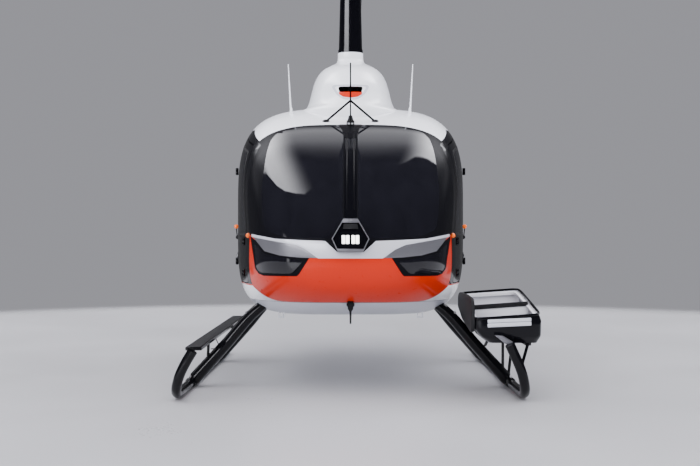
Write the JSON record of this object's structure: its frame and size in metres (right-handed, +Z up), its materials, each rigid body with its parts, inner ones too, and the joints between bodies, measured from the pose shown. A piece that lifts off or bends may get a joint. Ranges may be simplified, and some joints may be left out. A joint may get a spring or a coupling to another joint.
{
  "type": "utility helicopter",
  "caption": "Single-turbine utility helicopter parked on skids, with hollow cabin, hinged doors, side basket, side step, turning main rotor and tail rotor.",
  "frame": {"origin": "on the floor under the middle of the helicopter's bounding box", "axes": "+Z up, the nose points along -Y, +X is the helicopter's left side"},
  "size_m": [2.747, 13.5103, 3.84],
  "materials": {
    "white_shell": "glossy white paint on a composite skin",
    "black_shell": "glossy black paint on a composite skin",
    "orange_shell": "glossy orange paint on a composite skin",
    "tinted_glass": "dark tinted glazing",
    "black_gear": "glossy black paint on steel tube",
    "grey_trim": "matte grey trim",
    "dark_trim": "matte dark trim",
    "bare_steel": "machined steel",
    "engine_alloy": "cast alloy",
    "silver_trim": "polished",
    "seat_leather": "dark leather over foam",
    "rotor_grey": "satin dark grey paint on a composite blade"
  },
  "bodies": {
    "airframe": {"aft_bulkhead": "grey_trim", "aft_fuselage": "white_shell", "antenna_left": "white_shell", "antenna_right": "white_shell", "basket_liner": "grey_trim", "basket_rim": "silver_trim", "basket_struts": "black_gear", "basket_tub": "black_shell", "belly_pan": "white_shell", "cabin_floor": "grey_trim", "chin_window_left": "tinted_glass", "chin_window_right": "tinted_glass", "cross_tube_aft": "black_gear", "cross_tube_front": "black_gear", "cyclic_control": "dark_trim", "engine_block": "engine_alloy", "exhaust_pipe": "bare_steel", "front_seats": "seat_leather", "instrument_panel": "dark_trim", "lower_fin": "black_shell", "main_gearbox": "engine_alloy", "mast_fairing": "black_shell", "middle_seats": "seat_leather", "nose_lamp": "black_shell", "nose_panel": "orange_shell", "pylon_cowling": "white_shell", "rear_seats": "seat_leather", "roof_panel": "white_shell", "side_frame_left": "black_shell", "side_frame_right": "black_shell", "skid_left": "black_gear", "skid_right": "black_gear", "stabilizer": "white_shell", "step_right": "black_gear", "tail_boom": "white_shell", "tail_gearbox": "white_shell", "tail_skid": "black_gear", "upper_fin": "white_shell", "windshield_left": "tinted_glass", "windshield_post": "black_shell", "windshield_right": "tinted_glass", "wire_cutter_lower": "black_gear", "wire_cutter_upper": "black_gear"},
    "front_door_left": {"front_door_left": "black_shell", "front_door_glass_left": "tinted_glass"},
    "front_door_right": {"front_door_right": "black_shell", "front_door_glass_right": "tinted_glass"},
    "rear_door_left": {"rear_door_left": "black_shell", "rear_door_glass_left": "tinted_glass"},
    "rear_door_right": {"rear_door_right": "black_shell", "rear_door_glass_right": "tinted_glass"},
    "main_rotor": {"rotor_mast": "bare_steel", "swashplate": "bare_steel", "rotor_hub": "bare_steel", "main_blade_front": "rotor_grey", "main_blade_aft": "rotor_grey"},
    "tail_rotor": {"tail_rotor_hub": "bare_steel", "tail_blade_upper": "rotor_grey", "tail_blade_lower": "rotor_grey"}
  },
  "joints": [
    {"name": "front_door_left_hinge", "type": "hinge", "parent": "airframe", "child": "front_door_left", "pos_m": [0.85, -2.415, 1], "axis": [0, 0, -1], "range_deg": [0, 75]},
    {"name": "front_door_right_hinge", "type": "hinge", "parent": "airframe", "child": "front_door_right", "pos_m": [-0.85, -2.415, 1], "axis": [0, 0, 1], "range_deg": [0, 75]},
    {"name": "rear_door_left_hinge", "type": "hinge", "parent": "airframe", "child": "rear_door_left", "pos_m": [1.015, -1.335, 1], "axis": [0, 0, -1], "range_deg": [0, 75]},
    {"name": "rear_door_right_hinge", "type": "hinge", "parent": "airframe", "child": "rear_door_right", "pos_m": [-1.015, -1.335, 1], "axis": [0, 0, 1], "range_deg": [0, 75]},
    {"name": "main_rotor_turn", "type": "hinge", "parent": "airframe", "child": "main_rotor", "pos_m": [0, -0.75, 3], "axis": [0, 0, 1], "continuous": true},
    {"name": "tail_rotor_turn", "type": "hinge", "parent": "airframe", "child": "tail_rotor", "pos_m": [0.19, 6.35, 2.14], "axis": [1, 0, 0], "continuous": true}
  ]
}
